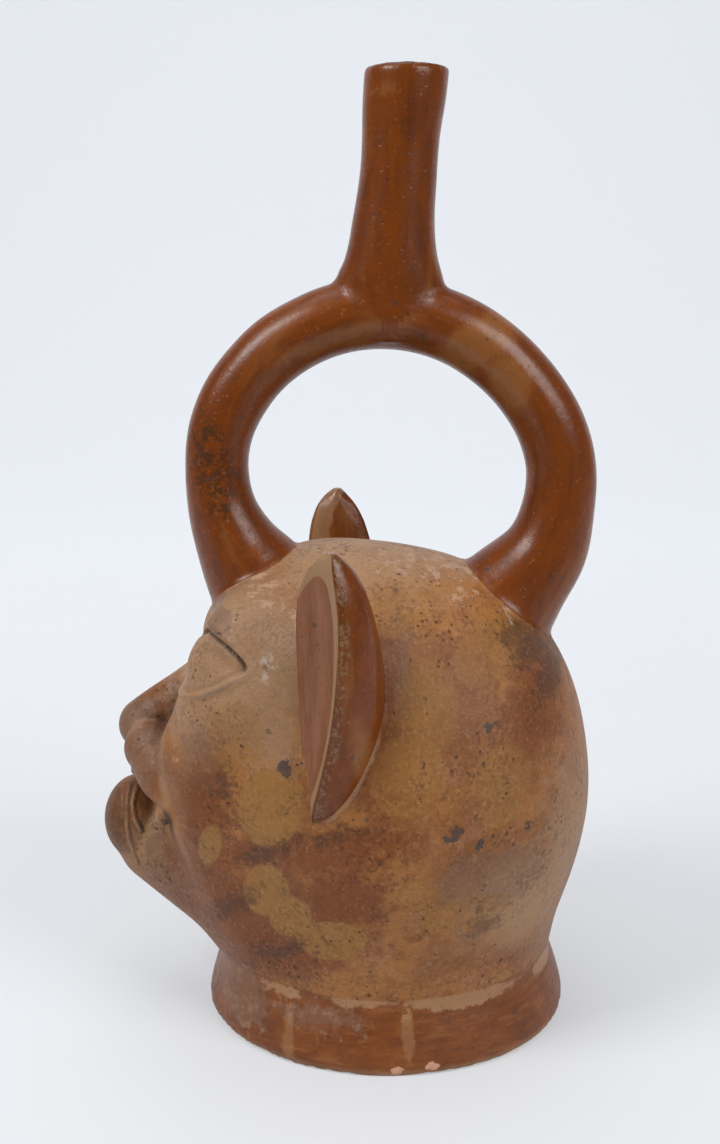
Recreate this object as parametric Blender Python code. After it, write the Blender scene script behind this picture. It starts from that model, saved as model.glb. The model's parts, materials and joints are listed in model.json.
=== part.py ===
"""Stirrup spout vessel shaped as an animal's head: one hollow piece of fired clay.

Metres, +Z up. The face looks towards -Y. The origin is on the surface the vessel stands on,
in the middle of the box around it.
"""

import math

import bmesh
import bpy
import numpy as np
from mathutils import Vector

MM = 0.001

# Foot ring, a flaring collar that is open underneath
FOOT_RADIUS = 59.5 * MM
FOOT_HEIGHT = 23.0 * MM
NECK_RADIUS = 53.0 * MM
FOOT_WALL = 7.5 * MM
FOOT_EDGE_ROUND = 1.5 * MM
FOOT_BULGE = 1.5
RECESS_DEPTH = 13.0 * MM

# Head, a free form whose masses are parts of its depth from muzzle to nape
HEAD_DEPTH = 160.0 * MM
BODY_WALL = 6.0 * MM
FLOOR_WALL = 6.0 * MM

# Stirrup, the arched tube that springs from the forehead and the nape
STIRRUP_HALF_SPAN = 54.8 * MM
STIRRUP_OFFSET = 0.6 * MM
STIRRUP_RISE = 49.0 * MM
SPRING_HEIGHT = 178.0 * MM
NAPE_SAG = 7.0 * MM
TUBE_RADIUS = 10.7 * MM
TUBE_SWELL = 0.55 * MM
LEG_FLARE = 5.6 * MM
TUBE_WALL = 4.5 * MM
LEG_OVERLAP = 20.0 * MM

# Spout, which leans a little towards the nape
SPOUT_LENGTH = 73.0 * MM
SPOUT_LEAN = 5.0 * MM
RIM_RADIUS = 12.8 * MM
WAIST_RADIUS = 11.8 * MM
ROOT_SPREAD = 19.0 * MM
ROOT_WIDTH = 11.4 * MM
RIM_WALL = 3.6 * MM
RIM_ROUND = 1.0 * MM

# Ears, leaf shapes with a scooped front
EAR_LENGTH = 85.0 * MM
EAR_WIDTH = 25.0 * MM
EAR_STAND = 15.0 * MM
EAR_SCOOP = 3.4 * MM
EAR_RIM = 2.6 * MM

# Facets
HEAD_CUTS = 21
CHAMBER_CUTS = 7
RING_SIDES = 40
TUBE_SIDES = 14
CHANNEL_SIDES = 8
SPOUT_SIDES = 18
FACE_CROWDING = 0.55
RELAX_ROUNDS = 3
BALL_SIDES = 15

# One part in 160 of the head's depth, the unit of the carving
PART = HEAD_DEPTH / 160
HEAD_CENTRE = np.array([0.0, -5.0, 85.0]) * PART
TONGUE_CENTRE = (0, -82.5, 61)
TONGUE_RADII = (14, 12, 14)
EYE_CENTRE = (26, -49.5, 121)
EYE_RADII = (16.5, 15.5, 12.5)
CLAY_BROWN = (0.30, 0.155, 0.07)


def clear_scene():
    for old in list(bpy.data.objects):
        bpy.data.objects.remove(old)


def clay_material():
    clay = bpy.data.materials.new("burnished_clay")
    clay.use_nodes = True
    shader = clay.node_tree.nodes["Principled BSDF"]
    shader.inputs["Base Color"].default_value = (*CLAY_BROWN, 1.0)
    shader.inputs["Roughness"].default_value = 0.5
    shader.inputs["Metallic"].default_value = 0.0
    return clay


def add_object(name, bm):
    mesh = bpy.data.meshes.new(name)
    bmesh.ops.recalc_face_normals(bm, faces=bm.faces)
    bm.to_mesh(mesh)
    bm.free()
    made = bpy.data.objects.new(name, mesh)
    bpy.context.scene.collection.objects.link(made)
    return made


def as_helper(helper):
    helper.hide_render = True
    helper.display_type = "WIRE"
    return helper


def boolean(target, helper, operation):
    step = target.modifiers.new(f"{operation.lower()}_{helper.name}", "BOOLEAN")
    step.operation = operation
    step.solver = "EXACT"
    step.object = as_helper(helper)


# The head's masses, each in 160ths of the head's depth


def ellipsoid(points, centre, radii):
    """Roughly the distance to an ellipsoid, negative inside."""
    p = points - np.array(centre) * PART
    r = np.array(radii) * PART
    near = np.linalg.norm(p / r, axis=1)
    slope = np.maximum(np.linalg.norm(p / r**2, axis=1), 1e-9)
    return near * (near - 1.0) / slope


def round_cone(points, start, end, start_radius, end_radius):
    """Distance to a rod whose radius changes evenly from end to end, negative inside."""
    a = np.array(start) * PART
    along = np.array(end) * PART - a
    t = np.clip((points - a) @ along / (along @ along), 0.0, 1.0)
    radius = (start_radius + (end_radius - start_radius) * t) * PART
    return np.linalg.norm(points - a - t[:, None] * along, axis=1) - radius


def blend(first, second, width):
    """Smooth union of two distances, with a fillet of this width."""
    width = width * PART
    h = np.clip(0.5 + 0.5 * (second - first) / width, 0.0, 1.0)
    return second + (first - second) * h - width * h * (1.0 - h)


def skull(points):
    """The plain head: cranium, forehead, snout, jaw and the body down to the foot."""
    shape = ellipsoid(points, (0, 4, 80), (60, 62, 72))
    shape = blend(shape, round_cone(points, (0, 0.5, 30), (0, 2, 66), 55, 61), 8)
    shape = blend(shape, ellipsoid(points, (0, -20, 111), (51, 41, 43)), 12)
    shape = blend(shape, ellipsoid(points, (0, -30, 84), (47, 50, 42)), 12)
    return blend(shape, round_cone(points, (0, -74, 54), (0, -37, 47.6), 16, 34), 12)


def face(points):
    """The skull with cheeks, brows, nose and upper lips, the same on both sides."""
    folded = points.copy()
    folded[:, 0] = np.abs(folded[:, 0])
    shape = skull(folded)
    shape = blend(shape, round_cone(folded, (24, -56, 106), (28, -61, 80), 10, 11), 12)
    shape = blend(shape, round_cone(folded, (28, -61, 80), (27, -51, 50), 11, 9), 12)
    shape = blend(shape, round_cone(folded, (9, -47, 129), (34, -41, 130), 11, 10), 10)
    shape = blend(shape, round_cone(folded, (0, -50, 122), (0, -79.5, 94.5), 11, 9), 5)
    return blend(shape, round_cone(folded, (10, -76, 84), (24, -68, 60), 8.5, 6), 6)


def back_onto(points, field, inset):
    """Moves points that are near the surface of a field straight back onto it."""
    step = 0.05 * PART
    height = field(points) + inset
    slope = [(field(points + step * axis) + inset - height) / step for axis in np.eye(3)]
    slope = np.array(slope).T
    steepness = np.maximum((slope * slope).sum(axis=1), 0.25)
    return points - slope * (height / steepness)[:, None]


def move_to(bm, places):
    for vert, place in zip(bm.verts, places):
        vert.co = place


def carved_ball(name, cuts, field, inset, crowding):
    """A ball of six grids whose points are moved along their rays to the surface of a field."""
    bm = bmesh.new()
    bmesh.ops.create_cube(bm, size=2.0)
    bmesh.ops.subdivide_edges(bm, edges=bm.edges[:], cuts=cuts - 1, use_grid_fill=True)
    rays = np.array([v.co.normalized() for v in bm.verts])
    angle = np.arccos(np.clip(-rays[:, 1], -1.0, 1.0))
    crowded = angle - crowding * np.sin(angle)
    side = np.maximum(np.sin(angle), 1e-9)
    rays[:, 0] *= np.sin(crowded) / side
    rays[:, 2] *= np.sin(crowded) / side
    rays[:, 1] = -np.cos(crowded)
    inner = np.full(len(rays), 5 * PART)
    outer = np.full(len(rays), 140 * PART)
    for _ in range(26):
        middle = (inner + outer) / 2
        inside = field(HEAD_CENTRE + rays * middle[:, None]) < -inset
        inner = np.where(inside, middle, inner)
        outer = np.where(inside, outer, middle)
    move_to(bm, HEAD_CENTRE + rays * inner[:, None])
    for _ in range(RELAX_ROUNDS):
        bmesh.ops.smooth_vert(bm, verts=bm.verts, factor=0.5, use_axis_x=True, use_axis_y=True, use_axis_z=True)
        places = np.array([v.co for v in bm.verts])
        move_to(bm, back_onto(places, field, inset))
    return add_object(name, bm)


def ball(name, centre, radii, segments):
    """An ellipsoid in parts of the head's depth, for a feature that stands out crisply."""
    bm = bmesh.new()
    bmesh.ops.create_uvsphere(bm, u_segments=segments, v_segments=segments * 2 // 3, radius=1.0)
    for vert in bm.verts:
        vert.co = Vector([(c + r * x) * PART for c, r, x in zip(centre, radii, vert.co)])
    return add_object(name, bm)


def turned(name, profile, sides):
    """A solid of revolution about Z from a closed outline of (radius, height) points."""
    bm = bmesh.new()
    ring = [bm.verts.new((radius, 0.0, height)) for radius, height in profile]
    edges = [bm.edges.new(pair) for pair in zip(ring, ring[1:])]
    bmesh.ops.spin(
        bm,
        geom=ring + edges,
        cent=(0, 0, 0),
        axis=(0, 0, 1),
        angle=math.tau,
        steps=sides,
        use_merge=True,
    )
    bmesh.ops.remove_doubles(bm, verts=bm.verts, dist=1e-6)
    return add_object(name, bm)


def lofted(name, sections):
    """A closed skin through rings of points, capped at both ends."""
    bm = bmesh.new()
    rings = [[bm.verts.new(p) for p in section] for section in sections]
    for low, high in zip(rings, rings[1:]):
        for i in range(len(low)):
            j = (i + 1) % len(low)
            bm.faces.new((low[i], low[j], high[j], high[i]))
    bm.faces.new(rings[0])
    bm.faces.new(rings[-1])
    return add_object(name, bm)


# Foot ring


def foot_ring():
    """The collar, bulging outwards between its bottom edge and the neck."""
    steps = 5
    round_step = FOOT_EDGE_ROUND / 3
    profile = [(0.0, 0.0), (FOOT_RADIUS - FOOT_EDGE_ROUND, 0.0), (FOOT_RADIUS - round_step, round_step)]
    for i in range(steps + 1):
        rise = FOOT_EDGE_ROUND + (FOOT_HEIGHT - FOOT_EDGE_ROUND) * i / steps
        taper = (rise / FOOT_HEIGHT) ** FOOT_BULGE
        profile.append((FOOT_RADIUS + (NECK_RADIUS - FOOT_RADIUS) * taper, rise))
    profile.append((NECK_RADIUS - BODY_WALL, FOOT_HEIGHT + BODY_WALL))
    profile.append((0.0, FOOT_HEIGHT + BODY_WALL))
    return turned("foot_ring", profile, RING_SIDES)


def foot_recess():
    """The hollow under the vessel, domed a little towards its middle."""
    radius = FOOT_RADIUS - FOOT_WALL
    profile = [
        (0.0, -FOOT_HEIGHT),
        (radius + FOOT_EDGE_ROUND, -FOOT_HEIGHT),
        (radius + FOOT_EDGE_ROUND, -FOOT_EDGE_ROUND),
        (radius, FOOT_EDGE_ROUND),
        (radius - FOOT_WALL / 2, RECESS_DEPTH * 0.75),
        (radius * 0.6, RECESS_DEPTH),
        (0.0, RECESS_DEPTH),
    ]
    return turned("foot_recess", profile, RING_SIDES)


# Stirrup


def bezier(points, t):
    a, b, c, d = (np.array(p) for p in points)
    s = 1 - t
    return a * s**3 + 3 * b * s * s * t + 3 * c * s * t * t + d * t**3


def leg_path(spring, foot, heading, steps):
    """The leg's centre line from its spring point down to its foot, then on into the head."""
    spring, foot = np.array(spring), np.array(foot)
    heading = np.array(heading) / np.linalg.norm(heading)
    reach = np.linalg.norm(foot - spring) * 0.35
    bends = (spring, spring - [0, reach], foot - heading * reach, foot)
    path = [bezier(bends, i / steps) for i in range(1, steps + 1)]
    return path + [foot + heading * LEG_OVERLAP]


def stirrup_line():
    """Centre points (y, z) and a flare factor, from inside the forehead over the top to the nape."""
    arch_steps, leg_steps = 20, 5
    front = (STIRRUP_OFFSET - STIRRUP_HALF_SPAN, SPRING_HEIGHT)
    back = (STIRRUP_OFFSET + STIRRUP_HALF_SPAN, SPRING_HEIGHT - NAPE_SAG)
    forehead = np.array([-41.5, 141.0]) * PART
    nape = np.array([41.5, 137.5]) * PART
    front_leg = leg_path(front, forehead, (0.55, -0.835), leg_steps)
    back_leg = leg_path(back, nape, (-0.70, -0.71), leg_steps)
    line = []
    for i, place in enumerate(reversed(front_leg)):
        line.append((place, min(1.0, (leg_steps + 1 - i) / leg_steps)))
    for i in range(arch_steps + 1):
        turn = math.pi * (i / arch_steps - 0.5)
        sag = NAPE_SAG * math.sin(turn) ** 2 if turn > 0 else 0.0
        y = STIRRUP_OFFSET + STIRRUP_HALF_SPAN * math.sin(turn)
        z = SPRING_HEIGHT + STIRRUP_RISE * math.cos(turn) - sag
        line.append((np.array([y, z]), 0.0))
    for i, place in enumerate(back_leg):
        line.append((place, min(1.0, (i + 1) / leg_steps)))
    return line


def swept_tube(name, sides, inset):
    """A round tube along the stirrup's line, this much thinner than the clay's outside."""
    line = stirrup_line()
    sections = []
    for i, (centre, flare) in enumerate(line):
        before = line[max(i - 1, 0)][0]
        after = line[min(i + 1, len(line) - 1)][0]
        along = (after - before) / np.linalg.norm(after - before)
        out = np.array([-along[1], along[0]])
        swell = TUBE_SWELL * centre[0] / STIRRUP_HALF_SPAN
        radius = TUBE_RADIUS + swell + LEG_FLARE * flare**1.5 - inset
        section = []
        for k in range(sides):
            turn = math.tau * k / sides
            side = radius * math.sin(turn)
            y, z = centre + out * radius * math.cos(turn)
            section.append((side, y, z))
        sections.append(section)
    return lofted(name, sections)


# Spout


def spout_section(share, inset, sides):
    """A ring of the spout at this share of its length above the stirrup's centre line."""
    base = np.array([0.0, 0.0, SPRING_HEIGHT + STIRRUP_RISE])
    rim = base + np.array([0.0, SPOUT_LEAN, SPOUT_LENGTH])
    axis = (rim - base) / np.linalg.norm(rim - base)
    along = np.array([0.0, axis[2], -axis[1]])
    lower = max(0.0, 1.0 - share / 0.55)
    upper = max(0.0, (share - 0.62) / 0.38)
    straight = WAIST_RADIUS + (RIM_RADIUS - WAIST_RADIUS) * upper**1.3
    spread = straight + (ROOT_SPREAD - WAIST_RADIUS) * lower**2.2 - inset
    width = straight + (ROOT_WIDTH - WAIST_RADIUS) * lower - inset
    centre = base + (rim - base) * share
    ring = []
    for k in range(sides):
        turn = math.tau * k / sides
        side = np.array([width * math.sin(turn), 0.0, 0.0])
        ring.append(centre + along * spread * math.cos(turn) + side)
    return ring


def spout_outside():
    rounding = RIM_ROUND / SPOUT_LENGTH
    sections = [spout_section(i / 10, 0.0, SPOUT_SIDES) for i in range(10)]
    sections.append(spout_section(1.0 - rounding, 0.0, SPOUT_SIDES))
    sections.append(spout_section(1.0, RIM_ROUND, SPOUT_SIDES))
    return lofted("spout_outside", sections)


def spout_bore():
    """The bore from the stirrup's channel up through the rim, flared at the mouth's edge."""
    rounding = RIM_ROUND / SPOUT_LENGTH
    root = TUBE_WALL + 1.5 * MM
    wall = lambda share: root + (RIM_WALL - root) * share
    sections = [spout_section(share, wall(share), SPOUT_SIDES) for share in (0.0, 0.2, 0.4, 0.6, 0.8)]
    sections.append(spout_section(1.0 - rounding, RIM_WALL, SPOUT_SIDES))
    sections.append(spout_section(1.0 + rounding, RIM_WALL - 2 * RIM_ROUND, SPOUT_SIDES))
    return lofted("spout_bore", sections)


# Ears


def smooth_through(places, values, at):
    """A smooth curve through a few values."""
    for i in range(len(places) - 1):
        if at <= places[i + 1] or i == len(places) - 2:
            break
    span = places[i + 1] - places[i]
    t = (at - places[i]) / span

    def slope(k):
        low, high = max(k - 1, 0), min(k + 1, len(places) - 1)
        return (values[high] - values[low]) / (places[high] - places[low]) * span

    a, b, m, n = values[i], values[i + 1], slope(i), slope(i + 1)
    cubic = (2 * t**3 - 3 * t**2 + 1) * a + (t**3 - 2 * t**2 + t) * m
    return cubic + (3 * t**2 - 2 * t**3) * b + (t**3 - t**2) * n


EAR_PLACES = (0.0, 0.06, 0.2, 0.45, 0.68, 0.84, 0.95, 1.0)
EAR_FULLNESS = (0.10, 0.36, 0.68, 0.95, 0.97, 0.80, 0.50, 0.12)


def ear_section(share, side):
    """A ring round the ear: scooped front from the inner edge to the outer one, then the rounded back."""
    full = smooth_through(EAR_PLACES, EAR_FULLNESS, share)
    root = np.array([52.0, -20.5, 79.0]) * PART
    tip = np.array([56.5, -14.6, 79.0]) * PART + np.array([0, 0, EAR_LENGTH])
    lean = math.sin(math.pi * share)
    centre = root + (tip - root) * share + np.array([2.0 * MM * lean, 3.0 * MM * lean, 0.0])
    inner = centre + np.array([-0.30 * EAR_STAND, -0.50 * EAR_WIDTH, 0.0]) * full
    outer = centre + np.array([0.70 * EAR_STAND, -0.03 * EAR_WIDTH, 0.0]) * full
    back = centre + np.array([-0.25 * EAR_STAND, 0.50 * EAR_WIDTH, 0.0]) * full
    across = outer - inner
    width = np.linalg.norm(across)
    across = across / width
    inward = np.array([-across[1], across[0], 0.0])
    border = min(EAR_RIM, width * 0.3)
    scoop = EAR_SCOOP * full * min(1.0, max(0.0, 2.2 * (1 - abs(2 * share - 1)) - 0.25))
    ring = [inner]
    for place, depth in ((border, 0.1), (width * 0.35, 0.9), (width * 0.65, 0.9), (width - border, 0.1)):
        ring.append(inner + across * place + inward * scoop * depth)
    ring.append(outer)
    for t in (0.25, 0.5, 0.75):
        bulge = np.array([0.18 * EAR_STAND, 0.14 * EAR_WIDTH, 0.0]) * full * math.sin(math.pi * t)
        ring.append(outer + (back - outer) * t + bulge)
    ring.append(back)
    for t in (0.33, 0.67):
        bulge = np.array([-0.12 * EAR_STAND, 0.0, 0.0]) * full * math.sin(math.pi * t)
        ring.append(back + (inner - back) * t + bulge)
    return [(side * x, y, z) for x, y, z in ring]


def ear(name, side):
    shares = (0.0, 0.03, 0.08, 0.16, 0.26, 0.38, 0.5, 0.62, 0.74, 0.84, 0.92, 0.97, 1.0)
    return lofted(name, [ear_section(share, side) for share in shares])


def chamber():
    """The hollow inside the head, cut flat above the floor."""
    room = carved_ball("chamber", CHAMBER_CUTS, skull, BODY_WALL, 0.0)
    floor = RECESS_DEPTH + FLOOR_WALL
    for vert in room.data.vertices:
        vert.co.z = max(vert.co.z, floor + 0.04 * (abs(vert.co.x) + abs(vert.co.y)))
    return room


def centre_on_footprint(vessel):
    """Moves every piece so that the origin is the middle of the box around the vessel."""
    bpy.context.view_layer.update()
    shown = vessel.evaluated_get(bpy.context.evaluated_depsgraph_get())
    corners = [Vector(corner) for corner in shown.bound_box]
    low = min(corner.y for corner in corners)
    high = max(corner.y for corner in corners)
    for piece in bpy.data.objects:
        piece.location.y -= (low + high) / 2


def build():
    clear_scene()
    vessel = carved_ball("vessel", HEAD_CUTS, face, 0.0, FACE_CROWDING)
    floor_cut = FOOT_HEIGHT * 0.5
    for vert in vessel.data.vertices:
        vert.co.z = max(vert.co.z, floor_cut + 0.02 * (abs(vert.co.x) + abs(vert.co.y)))
    for shape in (
        foot_ring(),
        swept_tube("stirrup", TUBE_SIDES, 0.0),
        spout_outside(),
        ear("ear_near", 1),
        ear("ear_far", -1),
        ball("tongue", TONGUE_CENTRE, TONGUE_RADII, BALL_SIDES),
        ball("eye_near", EYE_CENTRE, EYE_RADII, BALL_SIDES),
        ball("eye_far", (-EYE_CENTRE[0], *EYE_CENTRE[1:]), EYE_RADII, BALL_SIDES),
    ):
        boolean(vessel, shape, "UNION")
    for hollow in (chamber(), swept_tube("channel", CHANNEL_SIDES, TUBE_WALL), spout_bore(), foot_recess()):
        boolean(vessel, hollow, "DIFFERENCE")
    vessel.data.materials.append(clay_material())
    centre_on_footprint(vessel)


build()
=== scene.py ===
"""Models and paints an animal-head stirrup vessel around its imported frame, and sets the studio for it."""

import json
import math

import bpy
import numpy as np
from bpy.props import FloatProperty, FloatVectorProperty, PointerProperty
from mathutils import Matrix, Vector
from mathutils.kdtree import KDTree


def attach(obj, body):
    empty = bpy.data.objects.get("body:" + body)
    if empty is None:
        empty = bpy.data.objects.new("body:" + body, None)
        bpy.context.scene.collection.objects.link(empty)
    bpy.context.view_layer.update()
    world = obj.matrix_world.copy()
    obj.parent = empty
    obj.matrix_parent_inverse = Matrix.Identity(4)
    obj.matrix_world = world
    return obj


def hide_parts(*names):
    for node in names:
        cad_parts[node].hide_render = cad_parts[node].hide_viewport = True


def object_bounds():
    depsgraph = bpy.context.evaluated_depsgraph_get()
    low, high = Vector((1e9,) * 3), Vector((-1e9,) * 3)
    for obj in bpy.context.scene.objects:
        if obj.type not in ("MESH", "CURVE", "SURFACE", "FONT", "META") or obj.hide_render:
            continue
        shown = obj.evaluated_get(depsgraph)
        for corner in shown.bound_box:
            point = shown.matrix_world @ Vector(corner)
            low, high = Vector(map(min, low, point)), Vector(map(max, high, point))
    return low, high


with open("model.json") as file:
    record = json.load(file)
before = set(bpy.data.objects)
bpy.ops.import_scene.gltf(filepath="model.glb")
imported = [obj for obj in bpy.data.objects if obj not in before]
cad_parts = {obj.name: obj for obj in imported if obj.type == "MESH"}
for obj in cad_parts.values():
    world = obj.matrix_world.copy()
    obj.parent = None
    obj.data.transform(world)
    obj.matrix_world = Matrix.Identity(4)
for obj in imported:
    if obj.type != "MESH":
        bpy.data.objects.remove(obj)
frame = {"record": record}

bl_info = {
    "name": "Stirrup spout vessel",
    "version": (1, 0, 0),
    "blender": (4, 5, 0),
    "location": "3D View > Sidebar > Pottery",
    "description": "Models and paints an animal-head vessel around its packed frame, with a studio",
    "category": "Object",
}

CAD_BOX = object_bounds()
MM = 0.001

# The middle of the foot lies this far behind the frame's origin
FOOT_Y = frame["record"]["mounts"][0]["pos_m"][1]

# Forms are worked out in millimetres from the middle of the foot's underside.
# Stirrup: (y, z, radius) along its centre line, from the forehead over the top to the nape
STIRRUP = (
    (-40.0, 138.0, 17.0),
    (-43.5, 144.5, 16.0),
    (-49.0, 155.0, 13.0),
    (-53.0, 166.0, 11.0),
    (-54.2, 178.0, 10.1),
    (-52.3, 192.0, 10.3),
    (-45.0, 205.3, 10.5),
    (-34.5, 216.0, 10.7),
    (-19.0, 224.0, 10.9),
    (0.0, 227.0, 11.0),
    (19.0, 222.9, 11.0),
    (34.5, 213.3, 11.0),
    (45.5, 201.5, 11.0),
    (52.3, 189.5, 11.0),
    (55.4, 177.0, 11.05),
    (54.8, 165.0, 11.7),
    (51.3, 152.8, 13.3),
    (44.0, 142.5, 15.8),
    (36.0, 132.0, 19.0),
)
ARCH_MIDDLE = 180.0

# Spout: (z, y of its middle, radius along Y, radius along X)
SPOUT = (
    (219.0, -0.2, 11.0, 8.6),
    (224.0, 0.0, 14.5, 10.7),
    (230.0, 0.2, 17.2, 11.6),
    (237.2, 0.5, 16.7, 12.2),
    (243.2, 0.95, 14.65, 12.4),
    (255.3, 1.65, 12.65, 12.1),
    (267.2, 2.65, 11.85, 11.7),
    (279.0, 3.5, 11.85, 11.7),
    (290.6, 4.5, 12.5, 12.3),
    (303.0, 5.6, 12.85, 12.7),
)
SPOUT_TOP = 300.3

# Foot: (z, radius)
FOOT = ((-3.0, 59.6), (2.2, 59.7), (4.0, 59.4), (9.0, 58.1), (15.0, 56.1), (20.0, 54.2), (28.0, 53.0))
FOOT_TOP = 23.0

# Ear: z, then y of its front edge, rim and back edge, then x of the same three
EAR = (
    (80.0, -23.6, -23.0, -14.8, 52.2, 55.7, 51.1),
    (84.0, -24.2, -23.0, -10.9, 52.5, 59.0, 51.2),
    (88.0, -25.1, -22.4, -8.5, 52.8, 60.8, 51.4),
    (94.0, -25.7, -21.0, -6.2, 53.1, 62.9, 51.6),
    (102.0, -26.0, -19.2, -4.0, 53.4, 64.4, 51.9),
    (112.0, -26.3, -17.3, -2.4, 53.6, 65.5, 52.3),
    (124.0, -26.8, -15.9, -2.1, 53.9, 66.1, 52.7),
    (136.0, -27.2, -15.1, -3.6, 54.3, 65.9, 53.3),
    (146.0, -27.0, -15.2, -6.0, 54.9, 65.1, 54.2),
    (153.0, -25.6, -16.0, -8.4, 55.8, 63.8, 55.2),
    (158.0, -23.3, -16.7, -11.3, 56.8, 62.5, 56.3),
    (161.0, -20.6, -16.9, -14.0, 57.7, 61.4, 57.4),
    (162.6, -18.4, -17.1, -15.6, 58.4, 60.3, 58.4),
)


def curve(places, values, at):
    """A smooth curve through (places, values), read off at other places."""
    places, values = np.asarray(places, float), np.asarray(values, float)
    slopes = np.gradient(values, places)
    at = np.clip(at, places[0], places[-1])
    k = np.clip(np.searchsorted(places, at) - 1, 0, len(places) - 2)
    span = places[k + 1] - places[k]
    t = (at - places[k]) / span
    start = (2 * t**3 - 3 * t**2 + 1) * values[k] + (t**3 - 2 * t**2 + t) * span * slopes[k]
    return start + (3 * t**2 - 2 * t**3) * values[k + 1] + (t**3 - t**2) * span * slopes[k + 1]


# Distances in millimetres, negative inside


def folded(points):
    """Both sides laid over each other."""
    return np.abs(points * (1, 0, 0)) + points * (0, 1, 1)


def oval(q, radii):
    """An ellipse or ellipsoid round the origin."""
    near = np.linalg.norm(q / radii, axis=1)
    slope = np.maximum(np.linalg.norm(q / radii**2, axis=1), 1e-9)
    return near * (near - 1.0) / slope


def ellipsoid(p, centre, radii):
    return oval(p - np.array(centre), np.array(radii))


def rod(p, start, end, first, last):
    """A bar with round ends, of one radius at its start and another at its end."""
    start = np.array(start, float)
    along = np.array(end) - start
    length = np.linalg.norm(along)
    taper = (last - first) / length
    up = (p - start) @ (along / length)
    off = np.sqrt(np.maximum(((p - start) ** 2).sum(axis=1) - up**2, 0.0))
    t = np.clip(up + off * taper / math.sqrt(1 - taper**2), 0.0, length)
    return np.hypot(off, up - t) - (first + taper * t)


def weld(a, b, soft):
    """Union with a fillet."""
    h = np.clip(0.5 + 0.5 * (b - a) / soft, 0.0, 1.0)
    return b + (a - b) * h - soft * h * (1.0 - h)


def trim(a, b, soft):
    """What is inside both, with a rounded edge."""
    return -weld(-a, -b, soft)


def near_line(p, points):
    """Distance in the side view to a line through (y, z) points."""
    flat = p[:, 1:]
    nearest = np.full(len(p), 1e9)
    for start, end in zip(points, points[1:]):
        start = np.array(start, float)
        along = np.array(end) - start
        t = np.clip((flat - start) @ along / (along @ along), 0.0, 1.0)
        nearest = np.minimum(nearest, np.linalg.norm(flat - start - t[:, None] * along, axis=1))
    return nearest


def near_lines(p, lines):
    return np.minimum.reduce([near_line(p, line) for line in lines])


def chain(p, places, radii, soft):
    """Bars from place to place, welded where they meet."""
    shape = rod(p, *places[:2], *radii[:2])
    for i in range(1, len(places) - 1):
        shape = weld(shape, rod(p, *places[i : i + 2], *radii[i : i + 2]), soft)
    return shape


# Masses of the head: a ball is its middle and radii, a bar its two ends and their radii
CRANIUM = ((0, 4, 80), (60, 62, 72))
TRUNK = ((0, 0.5, 30), (0, 2, 66), 55, 61)
FOREHEAD = ((0, -20, 111), (51, 41, 43))
FACE = ((0, -27, 84), (47, 44, 42))
JAW = ((0, -74, 54), (0, -37, 47.6), 16, 34)
CHEEK_BONE = ((27, -49.8, 107.5), (35, -38.5, 113), 12.6, 12.0)
NOSE = ((0, -58, 109), (0, -79.6, 93.3), 8.5, 8.7)
BESIDE_NOSE = ((10, -57, 107), (18.5, -62, 93), 7.5, 8.5)
MOUTH = ((0, -86, 82), (20, -78, 71), 3.2, 2.6)
TONGUE = ((0, -83.1, 61), (14, 11, 14))
MOUTH_CORNER = ((24, -71.5, 70.8), (4.0, 2.2, 3.4))
HEAD_BOTTOM = 11.5

# Masses that bend: their places, then their radii
CHEEK = ((24, -51, 107), (25, -58.5, 91), (26, -54.5, 72), (24, -38, 44)), (11, 12, 11, 14)
BROW = ((10, -42.5, 131), (29, -43, 131.5), (38, -24, 126)), (10.5, 11, 9)
LIP = ((10, -76.6, 88.3), (17, -70.5, 83), (23, -67, 76)), (8.6, 9.0, 6.0)


def skull(p):
    """Cranium, forehead, cheeks and body down to the foot."""
    shape = weld(ellipsoid(p, *CRANIUM), rod(p, *TRUNK), 8)
    shape = weld(shape, ellipsoid(p, *FOREHEAD), 12)
    shape = weld(shape, ellipsoid(p, *FACE), 12)
    return weld(shape, rod(p, *JAW), 12)


# The eye: its middle, its long axis towards the outer corner, its outward direction and its ball
EYE = np.array([28.9, -51.9, 118.5])
EYE_ALONG = np.array([0.814, 0.500, 0.300])
EYE_OUT = np.array([0.485, -0.866, 0.126])
EYE_UP = np.cross(EYE_OUT, EYE_ALONG)
EYE_LENGTH = 37.0
EYE_ARCH = 13.0
EYE_SAG = 5.4
EYE_BALL = (25.5, -41.6, 117.5)
EYE_RADII = (18.0, 21.0, 20.0)


def lid_arc(along, up, rise):
    """Distance to a circle through both corners of the eye and this far above or below its axis."""
    half = EYE_LENGTH / 2
    radius = (half**2 + rise**2) / (2 * abs(rise))
    middle = rise - math.copysign(radius, rise)
    return np.hypot(along, up - middle) - radius


def lid_arcs(p):
    rel = p - EYE
    along, up = rel @ EYE_ALONG, rel @ EYE_UP
    return lid_arc(along, up, EYE_ARCH), lid_arc(along, up, -EYE_SAG), along, up


def leaf(p):
    """Distance to the outline of the eye, whose corners are rounded."""
    upper, lower, _, _ = lid_arcs(p)
    return trim(upper, lower, 3.2)


def eye(p):
    """A ball cut to a leaf by the lids."""
    return trim(ellipsoid(p, EYE_BALL, EYE_RADII), leaf(p), 1.2)


def dent(distance, depth, width):
    """A groove, or a ridge for a negative depth, along a line at this distance."""
    return depth * np.exp(-((distance / width) ** 2))


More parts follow.
